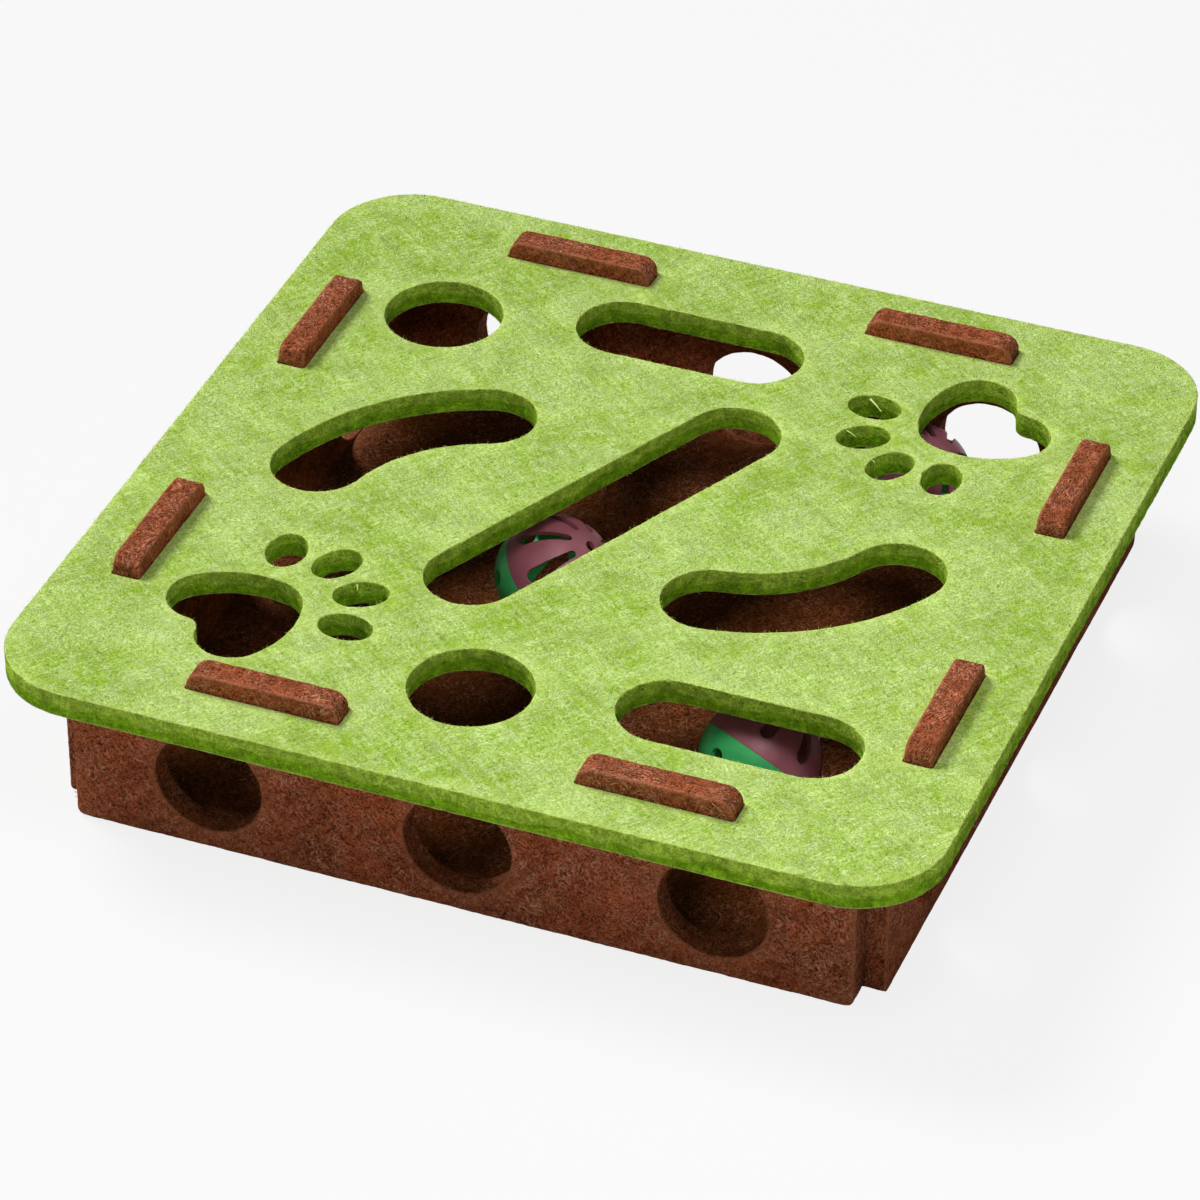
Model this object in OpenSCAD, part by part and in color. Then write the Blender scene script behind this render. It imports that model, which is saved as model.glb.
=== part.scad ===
// Felt ball maze for cats: felt boards plug together into a flat square box.
// A paw reaches in through the openings of the lid and the walls.
// Three rattle balls roll inside, each with a small bell in it.
// All lengths are in millimetres, and +Z is up.
// The origin is the middle of the box on the surface that it stands on.

/* [Lid board] */
// Side of the square lid
lid_side = 280; // [262:1:340]
// Thickness of the lid board
lid_thick = 8; // [4:0.5:12]
// Corner radius of the lid
lid_corner = 26.5; // [8:0.5:40]

/* [Long openings of the lid] */
// Width of every long opening
slot_width = 28.4; // [22:0.1:31]
// Overall length of a straight opening
slot_length = 71.5; // [60:0.5:76]
// Centre of the back straight opening, from the left and back edges
back_slot_from = [127.4, 48.3]; // [46:0.1:150]
// Centre of the front straight opening, from the right and front edges
front_slot_from = [71.3, 55.6]; // [46:0.1:90]
// Distance between the end centres of the diagonal opening
diagonal_span = 104.4; // [60:0.1:106]
// Angle of the diagonal opening, from the front edge
diagonal_angle = 64.8; // [60:0.1:68]
// Middle of the diagonal opening, from the centre of the lid
diagonal_shift = [-5.3, 2.7]; // [-7:0.1:5]
// Straight distance between the end centres of a bent opening
bend_span = 55.7; // [40:0.1:58]
// How far the middle of a bent opening bows out of straight
bend_bow = 6.8; // [4:0.1:9]
// Middle of the left bent opening, from the left edge
left_bend_from = 67.5; // [64:0.1:74]
// The same middle, from the left to right centre line
left_bend_up = 11.5; // [4:0.1:13]
// Slope of the left bent opening
left_bend_angle = 48; // [40:0.1:56]
// Middle of the right bent opening, from the right edge
right_bend_from = 77.6; // [70:0.1:80]
// The same middle, from the left to right centre line
right_bend_up = -14.2; // [-16:0.1:-6]
// Slope of the right bent opening
right_bend_angle = 35.4; // [30:0.1:42]

/* [Round openings of the lid] */
// Diameter of both round openings
round_d = 36; // [24:0.1:38]
// Centre of the back round opening, from the left and back edges
back_round_from = [52.4, 61.7]; // [50:0.1:66]
// Centre of the front round opening, from the left and front edges
front_round_from = [132.3, 45.8]; // [44:0.1:136]

/* [Paw print openings of the lid] */
// Centre of the back paw's pad, from the right and back edges
back_paw_from = [56.2, 56.1]; // [52:0.1:60]
// Centre of the front paw's pad, from the left and front edges
front_paw_from = [55.8, 54.2]; // [52:0.1:60]
// Direction from a paw's toes to the corner of the lid
paw_angle = 47.3; // [44:0.1:54]
// Radius of the two lobes of the pad
pad_lobe_r = 11; // [10.5:0.1:12]
// Distance between the centres of the lobes
pad_lobe_gap = 20.4; // [16:0.1:20.8]
// Radius of the blunt tip of the pad
pad_tip_r = 12.4; // [11.5:0.1:13]
// Distance from the centre of the tip to the line of the lobes
pad_length = 12.2; // [8:0.1:13]
// Radius of the bowed sides between the tip and the lobes
pad_side_r = 30; // [26:0.5:60]
// Radius inside the notch between the lobes
pad_notch_r = 5; // [1:0.1:8]
// Length of a toe
toe_length = 16.2; // [13:0.1:18]
// Width of a toe
toe_width = 11.8; // [9:0.1:12.5]
// Distance from the pad's centre to the two middle toes
middle_toe_reach = 37; // [34:0.1:39]
// Distance from the pad's centre to the two outer toes
outer_toe_reach = 33; // [30:0.1:35]
// Angle between neighbouring toes
toe_fan = 26; // [23:0.1:29]

/* [Wall boards] */
// Thickness of a wall board
wall_thick = 8.5; // [6:0.1:11]
// Distance from the edge of the lid to the outer face of a wall
wall_inset = 15.9; // [13:0.1:18]
// How far the front and back boards lap over the ends of the side boards
corner_lap = 2.2; // [1:0.05:5.5]
// Radius of the bottom corners of a board
board_corner = 2.5; // [1:0.1:5]
// Diameter of the holes in the walls
wall_hole_d = 32.5; // [20:0.1:35]
// Distance between neighbouring holes in a wall
wall_hole_pitch = 76; // [50:0.5:86]
// Height of the lowest point of a hole above the floor board
wall_hole_sill = 0.25; // [0:0.05:4]

/* [Tabs of the walls] */
// Length of a tab
tab_length = 46.5; // [30:0.5:52]
// Distance between the middles of the two tabs of a wall
tab_spacing = 117; // [90:0.5:130]
// Height of a tab above the lid
tab_rise = 5.5; // [3:0.1:9]
// Radius of the top corners of a tab
tab_corner = 4.5; // [1:0.1:5]
// Clearance of the lid around a tab
tab_gap = 0.25; // [0.1:0.05:1]

/* [Floor board] */
// Thickness of the floor board
floor_thick = 6; // [4:0.1:10]

/* [Balls] */
// Diameter of a ball
ball_d = 35.5; // [30:0.1:42]
// Thickness of a ball's shell
shell_wall = 1.6; // [1.4:0.1:2.4]
// Height of a ball above the floor board, where it rides on the nap of the felt
ball_float = 0.3; // [0.2:0.05:1]
// Room between the top of a ball and the lid
headroom = 5.4; // [3:0.1:20]
// Number of windows round each pole of a ball
window_count = 8; // [4:1:9]
// Diameter of the wide end of a window, by the seam of the ball
window_wide = 4.4; // [3:0.1:5.6]
// Diameter of the narrow end of a window, by the pole
window_narrow = 2.2; // [1.4:0.1:2.6]
// Angle from the pole to the near end of a window
window_from = 21; // [18:0.5:28]
// Angle from the pole to the far end of a window
window_to = 74; // [58:0.5:76]
// Diameter of the hole at a pole
pole_hole_d = 3.4; // [1:0.1:4]
// Height of the locating lip at the seam
lip_height = 1.2; // [0.6:0.1:1.6]
// Thickness of that lip
lip_wall = 0.6; // [0.4:0.05:0.7]
// Clearance around that lip
lip_gap = 0.15; // [0.1:0.05:0.2]
// Middle of the first ball, from the centre of the box
first_ball_at = [-22, 4.5]; // [-30:0.5:30]
// Room between the second ball and the right and front walls
second_ball_room = [32.5, 41]; // [2:0.5:46]
// Room between the third ball and the right and back walls
third_ball_room = [37, 8]; // [2:0.5:46]
// Lean of each ball's mauve pole away from straight up
ball_lean = [41, 50, 35]; // [0:1:180]
// Direction in which each mauve pole leans
ball_heading = [0, 63, -20]; // [-180:1:180]
// Turn of each mauve half about its own pole
mauve_spin = [44, 3, 40]; // [0:1:90]
// Turn of each green half about its own pole
green_spin = [20, 17, 15]; // [0:1:90]

/* [Bells] */
// Diameter of a bell
bell_d = 11; // [8:0.1:13]
// Thickness of the bell's sheet
bell_wall = 0.5; // [0.3:0.05:0.8]
// Width of the rim where the two halves of a bell meet
bell_rim = 0.7; // [0.4:0.05:1]
// Thickness of that rim on each half
bell_rim_thick = 0.4; // [0.3:0.05:0.8]
// Width of the sound slit
slit_width = 1; // [0.6:0.1:1.6]
// Diameter of the holes at the ends of the slit
slit_end_d = 2.2; // [1.8:0.1:3]
// Distance between those holes
slit_span = 6.4; // [5:0.1:7]
// Clearance between a bell and the ball that it lies in
bell_gap = 0.4; // [0.3:0.05:1]
// Diameter of the pellet that rings a bell
pellet_d = 3.2; // [2.4:0.1:4]
// Clearance between the pellet and the bell
pellet_gap = 0.35; // [0.3:0.05:0.8]

/* [Hidden] */
// Smoothness of round faces
$fn = 96;
// Small overrun that lets a cut clear the face it leaves
over = 1;
// How far arcs and sides that run into each other overlap
tuck = 0.01;
// Share of the pad's length that lies on the toes' side of its middle
pad_tip_share = 0.65;
// Radius of an oval's ends, as a share of its width
oval_end_share = 0.42;
// Places of the toes, counted in steps of the fan from the middle of the paw
toe_places = [-1.5, -0.5, 0.5, 1.5];
// How much more a toe turns than its place in the fan
toe_turn_share = 0.25;

BALLS = ["first", "second", "third"];

lid_half = lid_side / 2;
ball_r = ball_d / 2;
wall_height = floor_thick + ball_float + ball_d + headroom;
tab_height = lid_thick + tab_rise;

// Outer and inner faces of the walls, from the centre of the box
wall_outer = lid_half - wall_inset;
wall_inner = wall_outer - wall_thick;
wall_middle = wall_outer - wall_thick / 2;
front_board_width = 2 * (wall_inner + corner_lap);
side_board_width = 2 * wall_inner;
wall_hole_up = floor_thick + wall_hole_sill + wall_hole_d / 2;

// Middles of the lid's openings, from the centre of the lid
back_slot_at = [back_slot_from.x - lid_half, lid_half - back_slot_from.y];
front_slot_at = [lid_half - front_slot_from.x, front_slot_from.y - lid_half];
back_round_at = [back_round_from.x - lid_half, lid_half - back_round_from.y];
front_round_at = [front_round_from.x - lid_half, front_round_from.y - lid_half];
left_bend_at = [left_bend_from - lid_half, left_bend_up];
right_bend_at = [lid_half - right_bend_from, right_bend_up];
back_paw_at = [lid_half - back_paw_from.x, lid_half - back_paw_from.y];
front_paw_at = [front_paw_from.x - lid_half, front_paw_from.y - lid_half];

// Radius and half angle of the arc along the middle of a bent opening
bend_r = bend_span * bend_span / (8 * bend_bow) + bend_bow / 2;
bend_half_angle = asin(bend_span / (2 * bend_r));

// The pad's tip and lobes lie along the paw's direction, about the pad's centre
pad_tip_at = -pad_tip_share * pad_length;
pad_lobe_at = pad_tip_at + pad_length;

// The balls' middles
ball_up = floor_thick + ball_float + ball_r;
ball_reach = wall_inner - ball_r;
ball_at = [
    first_ball_at,
    [ball_reach - second_ball_room.x, second_ball_room.y - ball_reach],
    [ball_reach - third_ball_room.x, ball_reach - third_ball_room.y]
];

// Sizes inside a ball and its bell
shell_inner_r = ball_r - shell_wall;
lip_inner_r = shell_inner_r + lip_gap;
lip_outer_r = lip_inner_r + lip_wall;
bell_r = bell_d / 2;
bell_inner_r = bell_r - bell_wall;
bell_drop = shell_inner_r - bell_gap - bell_r;
pellet_drop = bell_inner_r - pellet_gap - pellet_d / 2;

// A circle, a larger circle and the two straight sides between them
module drop_outline(small_r, small_x, large_r, large_x) {
    lean_x = (large_r - small_r) / (large_x - small_x);
    lean_y = sqrt(1 - lean_x * lean_x);
    small_side = small_r - tuck;
    large_side = large_r - tuck;
    translate([small_x, 0])
        circle(r = small_r);
    translate([large_x, 0])
        circle(r = large_r);
    polygon([
        [large_x + large_side * lean_x, large_side * lean_y],
        [small_x + small_side * lean_x, small_side * lean_y],
        [small_x + small_side * lean_x, -small_side * lean_y],
        [large_x + large_side * lean_x, -large_side * lean_y]
    ]);
}

// A straight opening with round ends, along X
module long_outline(span, width) {
    square([span, width], center = true);
    for (side = [-1, 1])
        translate([side * span / 2, 0])
            circle(d = width);
}

// A bent opening along X that bows towards +Y, with its chord through the origin
module bent_outline() {
    reach = bend_r + slot_width;
    translate([0, bend_bow - bend_r])
        intersection() {
            difference() {
                circle(r = bend_r + slot_width / 2);
                circle(r = bend_r - slot_width / 2);
            }
            polygon([
                [0, 0],
                [-reach * tan(bend_half_angle), reach],
                [reach * tan(bend_half_angle), reach]
            ]);
        }
    for (side = [-1, 1])
        translate([side * bend_span / 2, 0])
            circle(r = slot_width / 2 + tuck);
}

// An oval along X made of two end arcs and two flatter side arcs
module oval_outline(length, width) {
    end_r = oval_end_share * width;
    end_x = length / 2 - end_r;
    side_r = (end_x * end_x + width * width / 4 - end_r * end_r) / (width - 2 * end_r);
    side_y = side_r - width / 2;
    join_x = end_x * (1 + end_r / (side_r - end_r));
    for (side = [-1, 1])
        translate([side * end_x, 0])
            circle(r = end_r);
    intersection() {
        translate([0, side_y])
            circle(r = side_r - tuck);
        translate([0, -side_y])
            circle(r = side_r - tuck);
        square([2 * join_x, width], center = true);
    }
}

// The bowed side between the pad's tip, at the origin, and a lobe along X:
// an arc that touches both from outside, in a wedge that runs well past it
module pad_bow(span, side) {
    tip_reach = pad_side_r - pad_tip_r;
    lobe_reach = pad_side_r - pad_lobe_r;
    bow_x = (span * span + tip_reach * tip_reach - lobe_reach * lobe_reach) / (2 * span);
    bow_y = -side * sqrt(tip_reach * tip_reach - bow_x * bow_x);
    tip_spread = 2 * pad_side_r / tip_reach;
    lobe_spread = 2 * pad_side_r / lobe_reach;
    intersection() {
        translate([bow_x, bow_y])
            circle(r = pad_side_r - tuck);
        polygon([
            [0, 0],
            [bow_x * (1 - tip_spread), bow_y * (1 - tip_spread)],
            [bow_x + (span - bow_x) * lobe_spread, bow_y * (1 - lobe_spread)],
            [span, 0]
        ]);
    }
}

// The pad of a paw: two lobes, a blunt tip, bowed sides and a rounded notch between the lobes
module pad_outline() {
    lobe_half = pad_lobe_gap / 2;
    pad_side = sqrt(pad_length * pad_length + lobe_half * lobe_half);
    notch_reach = pad_lobe_r + pad_notch_r;
    notch_x = pad_lobe_at + sqrt(notch_reach * notch_reach - lobe_half * lobe_half);
    for (side = [-1, 1])
        translate([pad_tip_at, 0])
            rotate(side * atan2(lobe_half, pad_length)) {
                drop_outline(pad_lobe_r, pad_side, pad_tip_r, 0);
                pad_bow(pad_side, side);
            }
    difference() {
        polygon([[pad_lobe_at, lobe_half], [pad_lobe_at, -lobe_half], [notch_x, 0]]);
        translate([notch_x, 0])
            circle(r = pad_notch_r + tuck);
    }
}

// A paw print whose toes point along -X
module paw_outline() {
    pad_outline();
    for (toe = toe_places) {
        reach = abs(toe) > 1 ? outer_toe_reach : middle_toe_reach;
        rotate(toe * toe_fan)
            translate([-reach, 0])
                rotate(toe * toe_fan * toe_turn_share)
                    oval_outline(toe_length, toe_width);
    }
}

// The slots of the lid that take the tabs of the four walls
module tab_slots() {
    for (turn = [0 : 90 : 270])
        rotate(turn)
            for (side = [-1, 1])
                translate([side * tab_spacing / 2, wall_middle])
                    square([tab_length + 2 * tab_gap, wall_thick + 2 * tab_gap], center = true);
}

// Everything that is cut out of the lid, apart from the tab slots
module lid_openings() {
    translate(back_slot_at)
        long_outline(slot_length - slot_width, slot_width);
    translate(front_slot_at)
        long_outline(slot_length - slot_width, slot_width);
    translate(diagonal_shift)
        rotate(diagonal_angle)
            long_outline(diagonal_span, slot_width);
    translate(left_bend_at)
        rotate(left_bend_angle)
            bent_outline();
    translate(right_bend_at)
        rotate(right_bend_angle + 180)
            bent_outline();
    translate(back_round_at)
        circle(d = round_d);
    translate(front_round_at)
        circle(d = round_d);
    translate(back_paw_at)
        rotate(paw_angle)
            paw_outline();
    translate(front_paw_at)
        rotate(paw_angle + 180)
            paw_outline();
}

// The square of the lid with its round corners
module lid_outline() {
    flat = lid_side - 2 * lid_corner;
    square([lid_side, flat], center = true);
    square([flat, lid_side], center = true);
    for (x = [-1, 1], y = [-1, 1])
        translate([x * flat / 2, y * flat / 2])
            circle(r = lid_corner);
}

module lid() {
    color("yellowgreen")
        translate([0, 0, wall_height])
            linear_extrude(lid_thick)
                difference() {
                    lid_outline();
                    lid_openings();
                    tab_slots();
                }
}

// One tab with round top corners, standing on the X axis
module tab_outline() {
    flat = tab_length - 2 * tab_corner;
    translate([-tab_length / 2, -over])
        square([tab_length, tab_height - tab_corner + over]);
    translate([-flat / 2, 0])
        square([flat, tab_height]);
    for (side = [-1, 1])
        translate([side * flat / 2, tab_height - tab_corner])
            circle(r = tab_corner);
}

// The face of a wall board: round bottom corners, two tabs and three holes
module board_outline(width) {
    flat = width - 2 * board_corner;
    difference() {
        union() {
            translate([-width / 2, board_corner])
                square([width, wall_height - board_corner]);
            translate([-flat / 2, 0])
                square([flat, wall_height]);
            for (side = [-1, 1]) {
                translate([side * flat / 2, board_corner])
                    circle(r = board_corner);
                translate([side * tab_spacing / 2, wall_height])
                    tab_outline();
            }
        }
        for (place = [-1 : 1])
            translate([place * wall_hole_pitch, wall_hole_up])
                circle(d = wall_hole_d);
    }
}

// A wall board that stands on the given side of the box: 0 is the front
module wall_board(turn, width) {
    color("saddlebrown")
        rotate(turn)
            translate([0, -wall_inner, 0])
                rotate([90, 0, 0])
                    linear_extrude(wall_thick)
                        board_outline(width);
}

module front_wall() {
    wall_board(0, front_board_width);
}

module right_wall() {
    wall_board(90, side_board_width);
}

module back_wall() {
    wall_board(180, front_board_width);
}

module left_wall() {
    wall_board(270, side_board_width);
}

module floor_board() {
    color("sienna")
        translate([-wall_inner, -wall_inner, 0])
            cube([2 * wall_inner, 2 * wall_inner, floor_thick]);
}

// One window, cut along its own radius of the ball
module ball_window() {
    middle = (window_from + window_to) / 2;
    half_angle = (window_to - window_from) / 2;
    reach = ball_r * sin(half_angle);
    near = shell_inner_r * cos(half_angle) - over;
    rotate([0, middle, 0])
        translate([0, 0, near])
            linear_extrude(ball_r - near + over)
                drop_outline(window_narrow / 2, window_narrow / 2 - reach,
                             window_wide / 2, reach - window_wide / 2);
}

// Section of half a shell, from its seam on the X axis up to the hole at its pole
module shell_section() {
    intersection() {
        difference() {
            circle(r = ball_r);
            circle(r = shell_inner_r);
        }
        translate([pole_hole_d / 2, 0])
            square(ball_d);
    }
}

// Cuts the windows round the pole out of a half shell that stands on its seam,
// with the first one half a step from the X axis
module with_windows() {
    difference() {
        children();
        for (place = [0 : window_count - 1])
            rotate((place + 0.5) * 360 / window_count)
                ball_window();
    }
}

// Moves a shell that lies about the origin to its place and pose in the box
module in_ball(ball) {
    translate([ball_at[ball].x, ball_at[ball].y, ball_up])
        rotate([0, ball_lean[ball], ball_heading[ball]])
            children();
}

// The upper half, rebated inside its seam to take the lip
module mauve_half(ball) {
    color("palevioletred")
        in_ball(ball)
            rotate(mauve_spin[ball])
                with_windows()
                    rotate_extrude()
                        difference() {
                            shell_section();
                            translate([0, -over])
                                square([lip_outer_r + lip_gap, lip_height + lip_gap + over]);
                        }
}

// The lower half, with the lip that stands up inside its seam
module green_half(ball) {
    color("mediumseagreen")
        in_ball(ball)
            rotate(green_spin[ball])
                mirror([0, 0, 1])
                    with_windows()
                        rotate_extrude() {
                            shell_section();
                            translate([lip_inner_r, -lip_height])
                                square([lip_wall, 2 * lip_height]);
                        }
}

// Half of a bell with its rim, standing on the seam of the bell
module half_bell() {
    rotate_extrude()
        intersection() {
            union() {
                difference() {
                    circle(r = bell_r);
                    circle(r = bell_inner_r);
                }
                translate([bell_inner_r, 0])
                    square([bell_wall + bell_rim, bell_rim_thick]);
            }
            square(bell_d);
        }
}

// Moves a bell that lies about the origin to the bottom of its ball
module in_bell(ball) {
    translate([ball_at[ball].x, ball_at[ball].y, ball_up - bell_drop])
        children();
}

module bell_cap(ball) {
    color("gold")
        in_bell(ball)
            half_bell();
}

module bell_cup(ball) {
    color("goldenrod")
        in_bell(ball)
            difference() {
                mirror([0, 0, 1])
                    half_bell();
                translate([-slit_span / 2, -slit_width / 2, -bell_d])
                    cube([slit_span, slit_width, bell_d - bell_rim_thick - bell_wall]);
                for (side = [-1, 1])
                    translate([side * slit_span / 2, 0, -bell_d])
                        cylinder(d = slit_end_d, h = bell_d - bell_rim_thick - bell_wall);
            }
}

module pellet(ball) {
    color("silver")
        in_bell(ball)
            translate([0, 0, -pellet_drop])
                sphere(d = pellet_d);
}

lid();
front_wall();
back_wall();
left_wall();
right_wall();
floor_board();
for (ball = [0 : len(BALLS) - 1]) {
    name = str(BALLS[ball], "_ball_");
    mauve_half(ball);
    green_half(ball);
    bell_cap(ball);
    bell_cup(ball);
    pellet(ball);
}
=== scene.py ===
import math

import bmesh
import bpy
import numpy as np
from mathutils import Matrix, Vector, noise
from mathutils.geometry import delaunay_2d_cdt


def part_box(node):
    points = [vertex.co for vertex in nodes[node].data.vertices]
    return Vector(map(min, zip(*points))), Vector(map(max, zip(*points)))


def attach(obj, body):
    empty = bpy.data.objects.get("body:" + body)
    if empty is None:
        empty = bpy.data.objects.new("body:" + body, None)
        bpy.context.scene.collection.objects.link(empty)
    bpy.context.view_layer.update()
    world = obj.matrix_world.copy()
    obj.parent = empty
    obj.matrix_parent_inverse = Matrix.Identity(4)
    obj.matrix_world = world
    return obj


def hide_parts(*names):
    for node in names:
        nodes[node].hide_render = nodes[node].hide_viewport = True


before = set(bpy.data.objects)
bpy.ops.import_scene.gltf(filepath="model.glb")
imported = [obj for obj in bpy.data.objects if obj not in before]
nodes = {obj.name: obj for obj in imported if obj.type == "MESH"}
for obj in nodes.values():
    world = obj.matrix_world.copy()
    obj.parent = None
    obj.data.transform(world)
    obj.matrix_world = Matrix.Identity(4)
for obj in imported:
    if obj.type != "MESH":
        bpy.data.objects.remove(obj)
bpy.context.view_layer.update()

# The axes by number
X, Y, Z = range(3)

# Camera: place and clipping in metres, angles in degrees, lens and sensor in millimetres
CAMERA_AT = (0.5149, -1.3385, 1.0644)
CAMERA_HEADING = 21.255
CAMERA_DOWN = 35.968
CAMERA_ROLL = 0.271
CAMERA_LENS = 180.93
CAMERA_SENSOR = 36.0
CAMERA_CLIP = (0.05, 50.0)

# Lamps: place, target and diameter in metres, power in watts
LAMPS = {
    "key_softbox": ((-4.68, 1.52, 5.66), (0.0, 0.0, 0.03), 3.0, 560.0),
    "top_softbox": ((0.18, -0.24, 0.62), (0.03, 0.0, 0.03), 0.30, 1.65),
    "front_fill": ((0.1, -1.9, 0.7), (0.0, 0.0, 0.03), 1.2, 2.9),
}
AMBIENT = 0.13
# The paper under the object
FLOOR_HALF = 4.0
PAPER_GREY = (0.58, 0.58, 0.58, 1.0)
PAPER_GLOW = 0.84  # share of it that shows as plain white, so that its shadows stay pale
WHITE = (1.0, 1.0, 1.0, 1.0)

# Felts: linear colours, and how their pattern shows
GREEN_FELT = {
    "base": (0.435, 0.610, 0.150),
    "deep": (0.270, 0.440, 0.028),
    "pale": (0.545, 0.710, 0.270),
    "fleck": (0.670, 0.825, 0.325),  # single fibres
    # the cut, darker than the face: partly the cut felt's own colour, partly painted shade
    "cut": (0.240, 0.470, 0.012),
    "outer_cut": (0.445, 0.640, 0.068),  # the outer ply where it is cut
    "rim": (0.640, 0.785, 0.200),  # painted highlight along the rims
    "grain": (0.68, 1.25),  # range of brightness
    "pits": 0.18,  # how much they darken
    "fibres": 0.60,  # how far single fibres show on the outer face
    "inner_fibres": 0.60,  # the same on the inner face
    "cut_fibres": 0.10,  # and on the cut
    "strand": (0.0018, 0.00036),  # length and width of a single fibre
    "strands_from": (0.60, 0.75),  # range of noise in which one appears
    "loose": 60000,  # loose fibres on a square metre
    "loose_length": (0.0006, 0.0019),
    "fuzz": ((0.450, 0.640, 0.130), (0.590, 0.755, 0.280)),  # colours of the loose fibres
}
BROWN_FELT = {
    "base": (0.360, 0.078, 0.025),
    "deep": (0.175, 0.034, 0.010),
    "pale": (0.480, 0.140, 0.056),
    "fleck": (0.720, 0.350, 0.215),
    # the cut, darker than the face: partly the cut felt's own colour, partly painted shade
    "cut": (0.250, 0.060, 0.020),
    "outer_cut": (0.250, 0.060, 0.020),
    # painted highlight along the rims
    "rim": (0.430, 0.160, 0.075),
    "grain": (0.33, 1.62),
    "pits": 0.55,
    "fibres": 0.80,
    # fewer pale fibres on the inner faces, as painted shade inside the box
    "inner_fibres": 0.25,
    "cut_fibres": 0.75,
    "strand": (0.0028, 0.00055),
    "strands_from": (0.58, 0.72),
    "loose": 150000,
    "loose_length": (0.0008, 0.0022),
    "fuzz": ((0.480, 0.140, 0.056), (0.720, 0.350, 0.215)),
}
# The floor board is painted a darker brown, as shade inside the box, and its fibres show less
SHADED_FLOOR_FELT = dict(
    BROWN_FELT,
    base=(0.112, 0.028, 0.004),
    deep=(0.072, 0.017, 0.002),
    pale=(0.148, 0.042, 0.009),
    fibres=0.30,
)

# Felt boards: axis of the thickness, outer side, body, slot, felt, spacing of points, rounding of the rim
BOARDS = {
    "lid": (Z, 1, "lid", "lid_felt", GREEN_FELT, 0.0008, 0.0004),
    "front_wall": (Y, -1, "box", "box_felt", BROWN_FELT, 0.0009, 0.0007),
    "back_wall": (Y, 1, "box", "box_felt", BROWN_FELT, 0.0009, 0.0007),
    "left_wall": (X, -1, "box", "box_felt", BROWN_FELT, 0.0009, 0.0007),
    "right_wall": (X, 1, "box", "box_felt", BROWN_FELT, 0.0009, 0.0007),
    "floor_board": (Z, 1, "box", "box_felt", SHADED_FLOOR_FELT, 0.002, 0.0004),
}
# Seeds of the random draws
FIRST_SEED = 3
FIBRE_SEED = 40  # added to a board's seed for its loose fibres
SEED_STEP = 7.1  # sets the waves of the boards apart

# Outlines read from the CAD
MICRONS_PER_METRE = 1e6  # points are matched to the micron
ON_FACE = 1e-6
FEWEST_POINTS = 16
TINY = 1e-9
SLOT_FILL = 0.98  # a hole that fills this share of its box is the slot of a tab

# The cut edge of a board
SKIN = 0.00003  # how far the felt keeps inside the solid
SNUG_ROUND = 0.0002  # rounding of the rim in a tab's slot
RIM_STEPS = 3
CUT_AT = (0.05, 0.28, 0.50, 0.72, 0.95)  # rows of points between the rims, as shares of the way
ROWS = 2 * (RIM_STEPS + 1) + len(CUT_AT)
# Painted highlight along the rims: its strength in each row down the cut, the upper rows first and the
# lower ones last
UPPER_HIGHLIGHT = (0.4, 1.0, 0.4)
LOWER_HIGHLIGHT = (0.7, 1.0, 1.0, 0.4)
ROW_HIGHLIGHT = UPPER_HIGHLIGHT + (0.0,) * (ROWS - len(UPPER_HIGHLIGHT) - len(LOWER_HIGHLIGHT)) + LOWER_HIGHLIGHT
# Unevenness of the cut
RIM_WOBBLE = 0.00010
CUT_WOBBLE = 0.00007
SNUG_WOBBLE = 0.2  # share of it in a tab's slot
SHARED_NOISE = ((0.6, 7), (0.4, 2))  # strength, and width in points, of what all the rows share
SHARED_PART = 0.5
OWN_NOISE = 1.4  # width in points of what each row has of its own
OWN_PART = 0.6
MOST_WOBBLE = 3
NOISE_SOFTNESS = 2.2
# Nicks in the upper rims
NICKS_PER_METRE = 4
NICK_DEPTH = 0.0006
NICK_WIDTH = (0.8, 1.8)  # in points
NICK_SHARE = (0.3, 1.0)  # of the depth
MOST_NICK = 1.3
NICK_FADE = 0.7  # down the rounding of the rim
# Faces of a board
FACE_WAVE = 0.00010
WAVES_PER_METRE = 45
FACE_GRID = 0.006
GRID_JITTER = 0.3  # share of the grid
GRID_CLEAR = FACE_GRID / 3

# Loose fibres
FIBRE_TAPER = (1.0, 0.9, 0.4)  # shares of the width at the root, the bend and the tip
FIBRE_CLEAR = 0.002  # how far they keep from joints
# Fibres on the rims
FIBRES_PER_METRE = 1000
INNER_SHARE = 0.15  # how many of these the inner face has
FIBRE_LENGTH = (0.0004, 0.0012)
FIBRE_WIDTH = (0.00005, 0.00010)
ROOT_DEPTH = (0.0001, 0.0005)
ROOT_INSET = 0.00025
FIBRE_LEAN = (-0.2, 1.5)  # radians from the board's plane
FIBRE_SLANT = (-1.2, 1.2)
FIBRE_BEND = (-0.9, 0.9)
# Fibres that lie on the outer face
LYING_WIDTH = (0.00007, 0.00018)
LYING_DEPTH = 0.00008
LYING_BEND = 0.5  # its spread, in radians
LYING_RISE = (0.10, 0.28)
LYING_FALL = (0.05, 0.20)
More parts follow.
